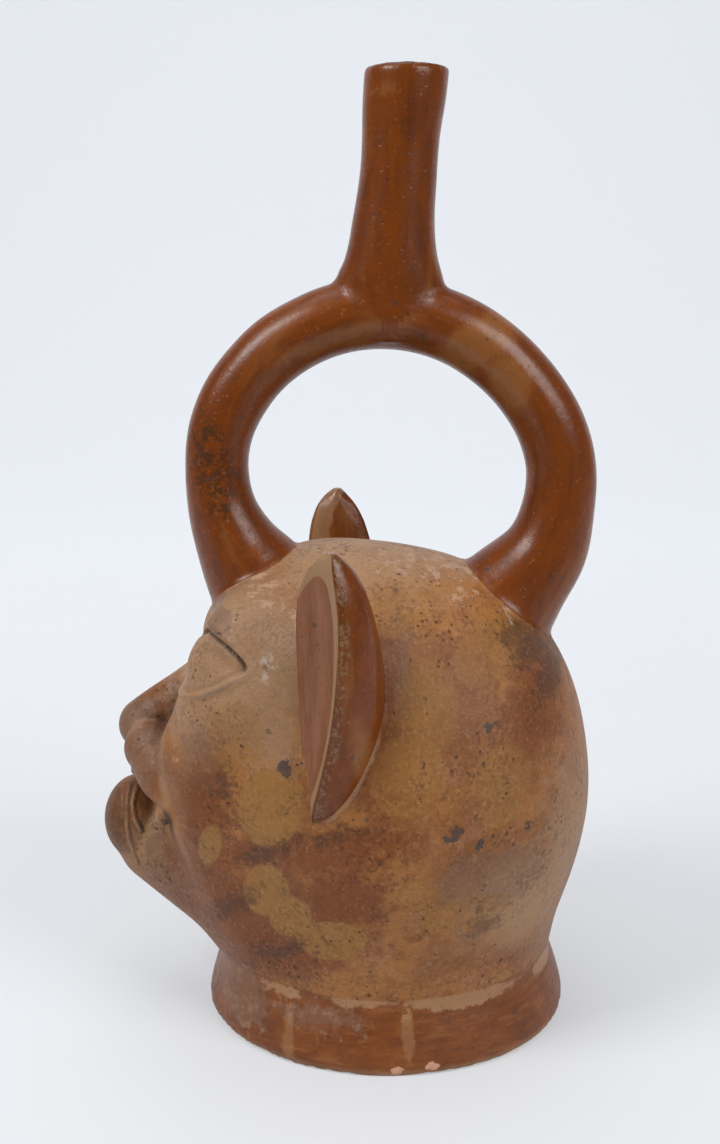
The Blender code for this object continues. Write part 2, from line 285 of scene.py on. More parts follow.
def lids(p):
    """The crease and fold above the eye and the thin rim below it."""
    _, _, along, up = lid_arcs(p)
    edge = leaf(p)
    near = dent(np.maximum(np.abs(along) - 17.5, 0.0), 1.0, 2.0) * ((p - EYE) @ EYE_OUT > -12)
    over = dent(edge - 0.6, 1.6, 0.8) + dent(edge - 3.2, -0.9, 2.0)
    under = dent(edge - 1.1, -0.5, 0.9) + dent(edge + 0.5, 0.25, 0.8)
    above = 1 / (1 + np.exp(-(up + 0.5) * 2.0))
    return near * (over * above + under * (1 - above))


LIP_RIDGES = (
    ((-83.4, 81.0), (-84.6, 76.0), (-85.1, 70.8), (-84.8, 63.9), (-84.0, 57.5), (-82.0, 50.0)),
    ((-82.6, 82.0), (-81.4, 79.0), (-82.2, 74.5), (-82.9, 70.0), (-82.2, 65.5), (-80.2, 61.5)),
)
JAW_FOLDS = (((-79.0, 62.0), (-77.0, 57.0), (-73.5, 52.0)), ((-74.0, 66.0), (-71.5, 60.0), (-68.0, 55.0)))


def wrinkles(p):
    """Fine ridges round the mouth and folds of the jaw."""
    side = np.clip((p[:, 0] - 4.0) / 4.0, 0.0, 1.0) * (p[:, 1] < -60) * (p[:, 0] < 32)
    shape = np.zeros(len(p))
    for line in LIP_RIDGES:
        shape += dent(near_line(p, line), -0.65, 0.6)
    for line in JAW_FOLDS:
        shape += dent(near_line(p, line), 0.35, 1.5)
    return shape * side


def muzzle(p):
    """Nose and upper lip."""
    nose = weld(rod(p, *NOSE), rod(p, *BESIDE_NOSE), 3.0)
    return weld(nose, chain(p, *LIP, 4), 1.4)


def head(p):
    """The skull with its face, the same on both sides."""
    q = folded(p)
    shape = weld(skull(q), chain(q, *CHEEK, 2), 14)
    shape = weld(shape, rod(q, *CHEEK_BONE), 8)
    shape = weld(shape, chain(q, *BROW, 6), 10)
    eye_up = (q - EYE) @ EYE_UP
    fillet = 0.6 + 2.8 / (1 + np.exp(eye_up * 1.3 + 0.3))
    shape = weld(shape, eye(q), fillet) + lids(q)
    shape = weld(shape, muzzle(q), 2.0)
    shape = trim(shape, -rod(q, *MOUTH), 2.5)
    shape = weld(shape, ellipsoid(q, *TONGUE), 1.5)
    shape = weld(shape, ellipsoid(q, *MOUTH_CORNER), 0.8)
    return np.maximum(shape + wrinkles(q), HEAD_BOTTOM - p[:, 2])


def foot(p):
    """The flaring collar that the vessel stands on."""
    rise = p[:, 2]
    z, radius = np.array(FOOT).T
    profile = curve(z, radius, rise)
    side = np.hypot(p[:, 0], p[:, 1]) - profile
    return trim(np.maximum(side * 0.97, rise - FOOT_TOP - 4), -rise, 1.6)


ARCH_TURN = np.array([math.atan2(y, z - ARCH_MIDDLE) for y, z, _ in STIRRUP])
ARCH_TURNS = np.linspace(ARCH_TURN[0], ARCH_TURN[-1], 361)
ARCH_REACH = curve(ARCH_TURN, [math.hypot(y, z - ARCH_MIDDLE) for y, z, _ in STIRRUP], ARCH_TURNS)
ARCH_RADIUS = curve(ARCH_TURN, [radius for _, _, radius in STIRRUP], ARCH_TURNS)
ARCH_SLANT = 1.0 / np.hypot(1.0, np.gradient(ARCH_REACH, ARCH_TURNS) / ARCH_REACH)


def stirrup(p):
    """The arched tube."""
    turn = np.arctan2(p[:, 1], p[:, 2] - ARCH_MIDDLE)
    reach = np.hypot(p[:, 1], p[:, 2] - ARCH_MIDDLE)
    beyond = (turn - np.clip(turn, ARCH_TURNS[0], ARCH_TURNS[-1])) * reach
    off = (reach - np.interp(turn, ARCH_TURNS, ARCH_REACH)) * np.interp(turn, ARCH_TURNS, ARCH_SLANT)
    return np.sqrt(off**2 + p[:, 0] ** 2 + beyond**2) - np.interp(turn, ARCH_TURNS, ARCH_RADIUS)


def spout(p):
    """The upright tube, flared along the stirrup at its root and flat at its lip."""
    z, middle, along, across = np.array(SPOUT).T
    rise = p[:, 2]
    radii = np.stack([curve(z, across, rise), curve(z, along, rise)], axis=1)
    flat = np.stack([p[:, 0], p[:, 1] - curve(z, middle, rise)], axis=1)
    side = np.maximum(oval(flat, radii), z[0] - rise)
    lip = SPOUT_TOP + 0.25 * np.sin(p[:, 1] / 5.0) - 0.012 * (p[:, 1] - 5.0)
    return trim(side, rise - lip, 1.8)


def tubes(p):
    return weld(stirrup(p), spout(p), 2.2)


def body(p):
    return weld(head(p), foot(p), 1.8)


def fired_clay(p):
    """The whole outside but the ears, with the slight waver of a hand-built wall."""
    waver = form().waver / MM
    x, y, z = p.T
    bumps = np.sin(x / 8.3 + 1.1) * np.sin(y / 9.7 + 0.4) * np.sin(z / 11.9)
    return weld(body(p), tubes(p), 2.2) + waver * (bumps + 0.5 * np.sin((x + y + z) / 5.1))


# Modelling


def form():
    return bpy.context.scene.vessel_form


def to_frame(points):
    """From millimetres about the foot to metres in the frame."""
    return np.asarray(points, float) * MM + (0.0, FOOT_Y, 0.0)


def to_foot(points):
    """From metres in the frame to millimetres about the foot."""
    return (np.asarray(points, float) - (0.0, FOOT_Y, 0.0)) / MM


def read(piece):
    places = np.empty(len(piece.data.vertices) * 3)
    piece.data.vertices.foreach_get("co", places)
    return to_foot(places.reshape(-1, 3))


def write(piece, points):
    piece.data.vertices.foreach_set("co", to_frame(points).ravel())
    piece.data.update()


def only(piece):
    """Leaves just this piece selected and active."""
    bpy.ops.object.select_all(action="DESELECT")
    piece.select_set(True)
    bpy.context.view_layer.objects.active = piece


def editing(piece, *steps):
    """Runs edit-mode steps on all of a piece."""
    only(piece)
    bpy.ops.object.mode_set(mode="EDIT")
    bpy.ops.mesh.select_all(action="SELECT")
    for step in steps:
        step()
    bpy.ops.object.mode_set(mode="OBJECT")


def outwards():
    bpy.ops.mesh.normals_make_consistent(inside=False)


def pulled(name, sides, steps, place):
    """A closed tube pulled up ring by ring from a disc, each point then set by place(share, turn)."""
    bpy.ops.object.select_all(action="DESELECT")
    bpy.ops.mesh.primitive_circle_add(vertices=sides, radius=1.0, fill_type="NGON")
    piece = bpy.context.object
    piece.name = piece.data.name = name

    def pull():
        for _ in range(steps):
            bpy.ops.mesh.extrude_region_move(TRANSFORM_OT_translate={"value": (0, 0, 1)})

    editing(piece, pull)
    raw = np.array([v.co for v in piece.data.vertices])
    turns = np.arctan2(raw[:, 1], raw[:, 0]) % math.tau
    write(piece, np.array([place(z / steps, turn) for z, turn in zip(raw[:, 2], turns)]))
    editing(piece, outwards)
    return piece


def blown(name, rings, field, middle):
    """A ball whose points are moved along their rays to the surface of a field."""
    bpy.ops.object.select_all(action="DESELECT")
    bpy.ops.mesh.primitive_uv_sphere_add(segments=rings * 2, ring_count=rings, radius=1.0)
    piece = bpy.context.object
    piece.name = piece.data.name = name
    rays = np.array([v.co.normalized() for v in piece.data.vertices])
    near, far = np.full(len(rays), 2.0), np.full(len(rays), 150.0)
    for _ in range(22):
        half = (near + far) / 2
        inside = field(middle + rays * half[:, None]) < 0
        near, far = np.where(inside, half, near), np.where(inside, far, half)
    write(piece, middle + rays * near[:, None])
    return piece


def slope_at(points, field):
    """A field's value at some points, and how it grows there along X, Y and Z."""
    height = field(points)
    return height, np.stack([field(points + 0.05 * axis) - height for axis in np.eye(3)], axis=1) / 0.05


def settle(points, field, rounds):
    """Moves points onto the surface of a field, along its slope."""
    for _ in range(rounds):
        height, slope = slope_at(points, field)
        step = slope * (height / np.maximum((slope**2).sum(axis=1), 0.3))[:, None]
        points = points - np.clip(step, -2.5, 2.5)
    return points


def apply(piece, kind, **settings):
    only(piece)
    step = piece.modifiers.new(kind.lower(), kind)
    for key, value in settings.items():
        setattr(step, key, value)
    bpy.ops.object.modifier_apply(modifier=step.name)


def combine(piece, other, operation):
    apply(piece, "BOOLEAN", object=other, operation=operation, solver="EXACT")
    bpy.data.objects.remove(other)


def arch_tube(wall):
    """Places round the stirrup, as far inside it as a wall is thick."""

    def place(share, turn):
        k = round(share * (len(ARCH_TURNS) - 1))
        radius = ARCH_RADIUS[k] - wall
        out = ARCH_REACH[k] + radius * math.cos(turn)
        up = ARCH_MIDDLE + out * math.cos(ARCH_TURNS[k])
        return radius * math.sin(turn), out * math.sin(ARCH_TURNS[k]), up

    return place


def on_neck(rise, turn, wall):
    """A place round the spout at this height, as far inside it as a wall is thick."""
    z, middle, along, across = np.array(SPOUT).T
    back = (float(curve(z, along, rise)) - wall) * math.cos(turn) + float(curve(z, middle, rise))
    return (float(curve(z, across, rise)) - wall) * math.sin(turn), back, rise


def rough_tubes():
    """A stirrup, a spout and a foot near their final shape."""
    root = SPOUT[0][0]

    def neck(share, turn):
        return on_neck(root + (SPOUT_TOP - root) * share, turn, 0.0)

    def collar(share, turn):
        rise = share * (FOOT_TOP + 3)
        radius = float(curve(*np.array(FOOT).T, rise))
        return radius * math.sin(turn), radius * math.cos(turn), rise

    return [
        pulled("arch", 24, 60, arch_tube(0.0)),
        pulled("neck", 32, 16, neck),
        pulled("collar", 96, 6, collar),
    ]


def clay_body():
    """The outside but the ears: rough forms knitted together and smoothed onto their shape."""
    vessel = blown("fired_vessel", 56, head, np.array([0.0, -5.0, 85.0]))
    for rough in rough_tubes():
        only(vessel)
        rough.select_set(True)
        bpy.ops.object.join()
    for rounds in (8, 4):
        apply(vessel, "REMESH", mode="VOXEL", voxel_size=form().grain)
        write(vessel, settle(read(vessel), fired_clay, rounds))
    for where in (in_face, by_lids, by_mouth):
        refine(vessel, where)
    return vessel


def in_face(points):
    x, y, z = points.T
    return (y < -38) & (z > 44) & (z < 140) & (np.abs(x) < 46)


def by_lids(points):
    q = folded(points)
    upper, lower, along, _ = lid_arcs(q)
    facing = (q - EYE) @ EYE_OUT > -12
    return (np.minimum(np.abs(upper), np.abs(lower)) < 3.0) & (np.abs(along) < 20) & facing


def by_mouth(points):
    q = folded(points)
    return (near_lines(q, LIP_RIDGES + JAW_FOLDS) < 2.2) & (q[:, 0] > 4) & (q[:, 1] < -66)


def refine(vessel, where):
    """Finer clay where a test of the points says so."""
    picked = where(read(vessel))
    only(vessel)
    bpy.ops.object.mode_set(mode="EDIT")
    bpy.ops.mesh.select_all(action="DESELECT")
    bpy.ops.object.mode_set(mode="OBJECT")
    faces = vessel.data.polygons
    faces.foreach_set("select", [all(picked[i] for i in face.vertices) for face in faces])
    bpy.ops.object.mode_set(mode="EDIT")
    bpy.ops.mesh.subdivide(number_cuts=1, quadcorner="INNERVERT")
    bpy.ops.object.mode_set(mode="OBJECT")
    points = read(vessel)
    finer = where(points)
    points[finer] = settle(points[finer], fired_clay, 3)
    write(vessel, points)


# Points round the ear's cut: along its scooped front, round its rim, along its outside and its inside
EAR_FRONT = 16
EAR_RIM = (0.35, 0.75)
EAR_OUTSIDE = 22
EAR_INSIDE = 16
EAR_SIDES = EAR_FRONT + len(EAR_RIM) + EAR_OUTSIDE + EAR_INSIDE
EAR_STEPS = 90


def ear_outline(share):
    """The ear's cut at this share of its height, as closed (x, y) points, and its height."""
    table = np.array(EAR).T
    eased = 0.5 - 0.5 * math.cos(math.pi * share)
    rise = table[0][0] + (table[0][-1] - table[0][0]) * eased
    front_y, rim_y, back_y, front_x, rim_x, back_x = (float(curve(table[0], row, rise)) for row in table[1:])
    front, rim, back = np.array([front_x, front_y]), np.array([rim_x, rim_y]), np.array([back_x, back_y])
    width = np.linalg.norm(rim - front)
    hollow = 0.16 * width * math.sin(math.pi * eased) ** 0.5
    swell = 0.2 * np.linalg.norm(back - rim)
    inward = np.array([front[1] - rim[1], rim[0] - front[0]]) / max(width, 1e-6)
    outward = np.array([rim[1] - back[1], back[0] - rim[0]]) / max(np.linalg.norm(back - rim), 1e-6)
    points = []
    for i in range(EAR_FRONT):
        t = i / (EAR_FRONT - 1)
        dip = math.sin(math.pi * t) ** 0.7
        points.append(front + (rim - front) * t + inward * hollow * dip)
    edge = min(0.8, width * 0.12)
    for t in EAR_RIM:
        step = (back - rim) / np.linalg.norm(back - rim) * edge * t
        points.append(rim + step - outward * edge * (0.25 - t * 0.4))
    for i in range(EAR_OUTSIDE):
        t = i / (EAR_OUTSIDE - 1)
        lift = math.sin(math.pi * (t * 0.92 + 0.04)) ** 0.8
        points.append(rim + (back - rim) * (0.05 + 0.95 * t) - outward * swell * lift)
    for i in range(1, EAR_INSIDE + 1):
        t = i / (EAR_INSIDE + 1)
        points.append(back + (front - back) * t + np.array([-2.5, 0.0]) * math.sin(math.pi * t))
    return np.array(points), rise


def ear(side):
    """A leaf-shaped ear on one side of the head: 1 near, -1 far."""

    def place(share, turn):
        outline, rise = ear_outline(share)
        x, y = outline[round(turn / math.tau * EAR_SIDES) % EAR_SIDES]
        return side * x, y, rise

    return pulled("ear", EAR_SIDES, EAR_STEPS, place)


def hollows():
    """Chamber, channel, bore and the hollow under the foot, to be taken out of the clay."""
    sizes = form()
    floor = (sizes.recess_depth + sizes.chamber_wall) / MM

    def room(p):
        return np.maximum(skull(p) + sizes.chamber_wall / MM, floor - p[:, 2])

    chamber = blown("chamber", 20, room, np.array([0.0, -5.0, 85.0]))
    root = SPOUT[2][0]

    def bore(share, turn):
        rise = root + (SPOUT_TOP + 1.5 - root) * share
        lip = max(0.0, rise - SPOUT_TOP + 1.6)
        return on_neck(rise, turn, sizes.rim_wall / MM + 2.0 * (1 - share) - 0.5 * lip**2)

    inside = FOOT[1][1] - sizes.foot_wall / MM
    depth = sizes.recess_depth / MM
    recess_rings = (
        (-5.0, inside + 3.0),
        (0.0, inside + 2.0),
        (1.2, inside + 0.5),
        (3.0, inside),
        (depth * 0.7, inside - 2.0),
        (depth * 0.9, inside - 5.0),
        (depth, inside - 14.0),
        (depth + 0.8, inside * 0.4),
        (depth + 1.0, 1.0),
    )
    recess_steps = len(recess_rings) - 1

    def recess(share, turn):
        rise, radius = recess_rings[round(share * recess_steps)]
        return radius * math.sin(turn), radius * math.cos(turn), rise

    return [
        chamber,
        pulled("channel", 20, 45, arch_tube(sizes.tube_wall / MM)),
        pulled("bore", 64, 40, bore),
        pulled("recess", 96, recess_steps, recess),
    ]


def closed_up():
    """Merges doubled points and drops slivers and loose bits."""
    bpy.ops.mesh.remove_doubles(threshold=0.01 * MM)
    bpy.ops.mesh.dissolve_degenerate(threshold=0.005 * MM)
    bpy.ops.mesh.delete_loose()


def finish_mesh(vessel):
    """Welds the ears on, takes the hollows out and tidies the mesh."""
    for side in (1, -1):
        combine(vessel, ear(side), "UNION")
    for hollow in hollows():
        combine(vessel, hollow, "DIFFERENCE")
    editing(vessel, closed_up)
    low, high = (to_foot(corner) for corner in CAD_BOX)
    write(vessel, np.clip(read(vessel), low, high))
    only(vessel)
    bpy.ops.object.shade_smooth()


# Painting by place. Patches are (y, z, half width, half height, lean in degrees) in the side view

PALE_OVALS = (
    (-36.0, 83.0, 9.5, 13.0, 18.0),
    (-37.5, 55.5, 7.0, 9.5, 20.0),
    (-30.0, 48.0, 6.0, 8.0, 35.0),
    (-17.5, 42.5, 11.0, 6.8, -14.0),
    (-55.0, 67.0, 3.6, 7.5, 14.0),
)
FAINT_OVALS = (
    (-46.0, 103.0, 8.5, 12.0, 10.0),
    (11.0, 115.0, 9.0, 13.0, 0.0),
    (5.0, 96.0, 11.0, 12.0, 20.0),
    (33.0, 94.0, 9.5, 8.5, 0.0),
    (33.0, 84.0, 7.0, 6.0, 0.0),
    (22.0, 52.0, 15.0, 6.0, -8.0),
    (8.0, 60.0, 8.0, 5.0, 10.0),
    (30.0, 128.0, 12.0, 8.0, -20.0),
    (2.0, 140.0, 10.0, 6.0, 0.0),
)
RUST_AREAS = (
    (-16.0, 72.0, 20.0, 9.0, -12.0),
    (-42.0, 68.0, 14.0, 6.0, -30.0),
    (-28.0, 40.0, 20.0, 9.0, -25.0),
    (-54.0, 82.0, 7.0, 14.0, 5.0),
    (-12.0, 58.0, 12.0, 12.0, 0.0),
    (44.0, 112.0, 8.0, 14.0, 10.0),
    (26.0, 124.0, 9.0, 6.0, 0.0),
    (-45.0, 52.0, 6.0, 12.0, 40.0),
    (-2.0, 108.0, 4.0, 26.0, 0.0),
)
GREY_AREAS = (
    (-57.0, 94.0, 7.0, 10.0, 0.0),
    (-82.0, 92.0, 11.0, 12.0, 0.0),
    (2.0, 128.0, 4.0, 16.0, 0.0),
    (30.0, 62.0, 18.0, 10.0, 0.0),
    (-70.0, 50.0, 9.0, 8.0, 40.0),
)
# Painted shade, partly the darker clay of the face: nose and lips, tongue, jaw, the lower body and round the
# ear
SHADE_AREAS = (
    (-82.0, 95.0, 16.0, 20.0, 0.0),
    (-88.0, 64.0, 12.0, 18.0, 0.0),
    (-66.0, 46.0, 22.0, 14.0, 40.0),
    (-34.0, 40.0, 24.0, 12.0, -30.0),
    (-56.0, 80.0, 10.0, 18.0, 0.0),
    (46.0, 118.0, 12.0, 20.0, 15.0),
    (-2.0, 104.0, 9.0, 36.0, 0.0),
    (24.0, 116.0, 8.0, 12.0, 30.0),
)
# Painted shade on the lower body below the jaw, in the red tint
LOW_SHADE_AREAS = (
    (-36.0, 44.0, 28.0, 16.0, -30.0),
    (-58.0, 56.0, 16.0, 12.0, 40.0),
)
# Greyish bloom on the face; on the top of the head and low on the back of the body it is a painted sheen
BLOOM_AND_SHEEN_AREAS = (
    (-36.0, 114.0, 10.0, 20.0, 0.0),
    (-44.0, 126.0, 22.0, 24.0, 0.0),
    (-10.0, 152.0, 34.0, 10.0, 0.0),
    (-60.0, 106.0, 8.0, 10.0, 0.0),
    (42.0, 52.0, 18.0, 16.0, 0.0),
    (54.0, 62.0, 9.0, 26.0, 12.0),
    (-76.0, 57.0, 7.0, 10.0, 25.0),
)
STAINS = (
    (44.0, 126.0, 6.0, 5.0, 0.0),
    (50.0, 118.0, 5.0, 7.0, 20.0),
    (38.0, 131.0, 5.0, 3.0, 0.0),
    (-50.0, 88.0, 3.0, 6.0, 0.0),
    (-20.0, 76.0, 8.0, 2.0, -20.0),
    (-38.0, 68.0, 12.0, 2.0, -32.0),
    (28.0, 47.0, 5.0, 4.0, 0.0),
    (-48.0, 48.0, 3.0, 10.0, 50.0),
    (-92.0, 62.0, 7.0, 12.0, 0.0),
    (-30.0, 37.0, 9.0, 3.0, -30.0),
)
SPOTS = (
    (-31.5, 95.7, 2.1),
    (19.1, 79.5, 2.1),
    (16.1, 77.9, 1.1),
    (26.6, 74.5, 1.3),
    (41.7, 77.0, 1.4),
    (2.0, 93.9, 0.7),
    (10.8, 93.9, 0.8),
    (28.8, 108.2, 1.2),
    (-70.3, 46.7, 0.9),
    (-62.0, 47.6, 0.9),
    (30.0, 102.0, 0.6),
    (-12.0, 121.0, 0.7),
)
FLAKES = (
    (3.0, 151.0, 5.0, 2.0, 0.0),
    (18.0, 149.5, 8.0, 2.4, -8.0),
    (30.0, 146.0, 9.0, 2.2, -20.0),
    (41.0, 138.5, 4.0, 2.0, -30.0),
    (-36.0, 143.5, 8.0, 1.4, 30.0),
)
# Slip rubbed thin on the stirrup and the spout; the last patch, on the ear's back, is a painted sheen
RUBBED_AND_SHEEN = (
    (27.0, 218.0, 15.0, 7.0, -30.0),
    (37.5, 207.0, 6.0, 9.0, -20.0),
    (-2.0, 293.0, 3.0, 1.6, 0.0),
    (-7.5, 101.0, 2.6, 14.0, -8.0),
)
PEPPERED = ((-56.0, 183.0, 7.0, 12.0, 0.0), (-51.0, 171.0, 5.0, 8.0, 0.0))
BLOTS = (
    (-51.5, 137.6, 4.6, 3.8, 0.0),
    (-69.8, 107.7, 1.7, 2.8, -35.0),
    (-77.3, 101.3, 1.9, 3.2, -35.0),
    (-84.6, 97.5, 3.2, 4.2, 0.0),
    (-76.0, 57.5, 2.4, 4.2, 30.0),
)
# Pale wear and a painted highlight along the cheek ridge, below the nose and by the eye's corner
RIDGE_WEAR_AND_HIGHLIGHT = (
    (-71.0, 99.0, 1.3, 9.0, 4.0),
    (-70.5, 82.0, 1.2, 9.0, -6.0),
    (-65.0, 62.5, 1.2, 9.0, -18.0),
    (-81.0, 96.0, 3.0, 1.2, -30.0),
    (-64.0, 115.5, 1.0, 5.0, 30.0),
)
SCUFFS = ((-36.0, 125.6, 1.8, 4.2, 10.0), (-65.7, 93.9, 0.9, 0.9, 0.0))
CHIPS = ((2.8, 2.0, 2.2, 1.6, 0.0), (13.2, 2.6, 2.4, 1.4, 0.0))
FOOT_BARS = ((-31.0, 9.0, 1.7, 8.5, 2.0), (5.8, 12.0, 1.7, 9.5, -2.0), (50.5, 19.0, 3.5, 2.6, 0.0))
FOOT_BAND = ((22.0, 20.6, 19.0, 2.6, 2.0), (-8.0, 21.5, 12.0, 1.4, 0.0), (-33.0, 20.5, 7.0, 1.8, 0.0))
FOOT_WASH = ((-22.0, 15.5, 13.0, 3.6, -6.0), (-47.0, 14.0, 10.0, 8.0, 0.0))

PATCHES = {
    "blot": BLOTS,
    "wear": RIDGE_WEAR_AND_HIGHLIGHT,
    "pale": PALE_OVALS,
    "faint": FAINT_OVALS,
    "rusty": RUST_AREAS,
    "shade": SHADE_AREAS,
    "under": LOW_SHADE_AREAS,
    "bloom": BLOOM_AND_SHEEN_AREAS,
    "grey": GREY_AREAS,
    "stain": STAINS,
    "spot": SPOTS,
    "scuff": SCUFFS,
    "flake": FLAKES,
    "rubbed": RUBBED_AND_SHEEN,
    "peppered": PEPPERED,
    "chip": CHIPS,
    "foot_pale": FOOT_BARS + FOOT_BAND,
    "foot_wash": FOOT_WASH,
}

# The far side carries the same patches, moved back, and down where they are above the foot
FAR_SHIFT = (6.0, -5.0)
NO_PATCH = -9.0

# The red slip of the foot ends at this height
FOOT_SLIP = 22.6


def oval_depth(points, places):
    """How many millimetres each point is inside the nearest oval of the near side, or of its far twin."""
    near_side = points[:, 0] > 0
    best = np.full(len(points), NO_PATCH)
    for place in places:
        y, z, wide = place[:3]
        high, lean = place[3:] if len(place) == 5 else (wide, 0.0)
        turn = math.radians(lean)
        shift_y, shift_z = FAR_SHIFT if z > FOOT_TOP else (FAR_SHIFT[0], 0.0)
        dy = points[:, 1] - np.where(near_side, y, y + shift_y)
        dz = points[:, 2] - np.where(near_side, z, z + shift_z)
        u = dy * math.cos(turn) - dz * math.sin(turn)
        v = dy * math.sin(turn) + dz * math.cos(turn)
        best = np.maximum(best, (1.0 - np.hypot(u / wide, v / high)) * min(wide, high))
    return best


# The arched top of the dark field on an ear's front: its foot and rise in millimetres, and its middle
# and half width as shares of the front
EAR_FIELD = (143.0, 13.0, 0.42, 0.47)


def ear_marks(points):
    """Across: millimetres from the ear's rim, front negative, back positive. Gap: distance to an ear.
    Tip: millimetres above the arched top of the dark field on the ear's front.
    Inner: millimetres from the front edge along the side that faces the head."""
    across, gap = np.full(len(points), -30.0), np.full(len(points), 9.0)
    inner = np.full(len(points), 20.0)
    tip = np.full(len(points), -9.0)
    tree = KDTree((EAR_STEPS + 1) * EAR_SIDES)
    offsets, ends = [], []
    for step in range(EAR_STEPS + 1):
        outline, rise = ear_outline(step / EAR_STEPS)
        lengths = np.linalg.norm(np.diff(outline, axis=0), axis=1)
        run = np.concatenate([[0.0], np.cumsum(lengths)])
        offsets.append(run - run[EAR_FRONT - 1])
        ends.append(run[-1] - run)
        for k, (x, y) in enumerate(outline):
            tree.insert((x, y, rise), step * EAR_SIDES + k)
    tree.balance()
    field_foot, field_rise, field_middle, field_half = EAR_FIELD
    x, y, z = np.abs(points[:, 0]), points[:, 1], points[:, 2]
    for i in np.nonzero((x > 40) & (y > -36) & (y < 8) & (z > 70) & (z < 168))[0]:
        _, index, distance = tree.find((x[i], y[i], z[i]))
        step, k = divmod(index, EAR_SIDES)
        across[i] = offsets[step][k]
        gap[i] = distance
        inner[i] = ends[step][k]
        aside = (min(k / (EAR_FRONT - 1), 1.0) - field_middle) / field_half
        tip[i] = z[i] - field_foot - field_rise * math.sqrt(max(1.0 - aside**2, 0.0))
    return across, gap, tip, inner


def stroke_places(points):
    """Coordinates that run along the way the burnisher's pebble went: tube, spout, ear."""
    turn = np.arctan2(points[:, 1], points[:, 2] - ARCH_MIDDLE)
    reach = np.hypot(points[:, 1], points[:, 2] - ARCH_MIDDLE)
    along_arch = np.stack([turn * 50.0, reach, points[:, 0]], axis=1)
    along_neck = np.stack([points[:, 2] + 300.0, points[:, 1], points[:, 0]], axis=1)
    upright = (spout(points) < stirrup(points)) | (np.abs(points[:, 0]) > 40)
    return np.where(upright[:, None], along_neck, along_arch)


def straight_out(points):
    _, slope = slope_at(points, fired_clay)
    return slope / np.maximum(np.linalg.norm(slope, axis=1), 1e-9)[:, None]


def hollowness(points, normals, reach):
    """From 0 on open clay to 1 deep in a crease."""
    return np.clip(1.0 - fired_clay(points + reach * normals) / reach, 0.0, 1.0)


def sharpness(points, normals, reach):
    """From 0 on open clay to 1 on a thin ridge."""
    return np.clip(1.0 + fired_clay(points - reach * normals) / reach, 0.0, 1.0)


def lip_lines(points):
    """1 beside the fine ridges round the mouth, 0 a millimetre away."""
    q = folded(points)
    beside = 1.0 - np.abs(near_lines(q, LIP_RIDGES) - 0.9) / 0.9
    return np.where((q[:, 0] > 5) & (q[:, 0] < 30) & (q[:, 1] < -66), np.clip(beside, 0.0, 1.0), 0.0)


def paint_masks(vessel):
    """Writes the masks that the glaze reads."""
    points = read(vessel)
    shell, pipes = body(points), tubes(points)
    across, gap, tip, inner = ear_marks(points)
    by_ear = gap < 8.9
    normals = straight_out(points)
    masks = {
        "slip": np.clip(shell - pipes, -5.0, 5.0),
        "ear": np.where(by_ear & (gap < 1.6), np.clip(shell, -1.0, 4.0), -1.0),
        "ear_across": across,
        "ear_gap": gap,
        "ear_tip": np.clip(tip, -9.0, 9.0),
        "ear_inner": inner,
        # Painted shade and dirt in creases and beside the fine ridges round the mouth
        "crease": np.maximum(hollowness(points, normals, 1.6), lip_lines(points) * 0.5),
        # Painted shade: how deep a point lies in a broad hollow
        "recess": hollowness(points, normals, 7.0),
        # Where the ridges get their pale wear and painted highlight
        "ridge": sharpness(points, normals, 4.0),
    }
    masks.update({name: oval_depth(points, places) for name, places in PATCHES.items()})
    for name, values in masks.items():
        layer = vessel.data.attributes.new(name, "FLOAT", "POINT")
        layer.data.foreach_set("value", values.astype(np.float32))
    layer = vessel.data.attributes.new("strokes", "FLOAT_VECTOR", "POINT")
    layer.data.foreach_set("vector", (stroke_places(points) * MM).astype(np.float32).ravel())


class Wire:
    """A shader value that can be used in sums."""

    def __init__(self, glaze, socket):
        self.glaze = glaze
        self.socket = socket

    def sum(self, operation, first, second):
        node = self.glaze.node("ShaderNodeMath", {"operation": operation}, {0: first, 1: second})
        return Wire(self.glaze, node.outputs[0])

    def __add__(self, other):
        return self.sum("ADD", self, other)

    __radd__ = __add__

    def __sub__(self, other):
        return self.sum("SUBTRACT", self, other)

    def __rsub__(self, other):
        return self.sum("SUBTRACT", other, self)

    def __mul__(self, other):
        return self.sum("MULTIPLY", self, other)

    __rmul__ = __mul__

    def __or__(self, other):
        return self.sum("MAXIMUM", self, other)

    def between(self, low, high):
        """0 below low, 1 above high, smooth between."""
        settings = {"interpolation_type": "SMOOTHSTEP"}
        inputs = {"Value": self, "From Min": low, "From Max": high}
        node = self.glaze.node("ShaderNodeMapRange", settings, inputs)
        return Wire(self.glaze, node.outputs[0])


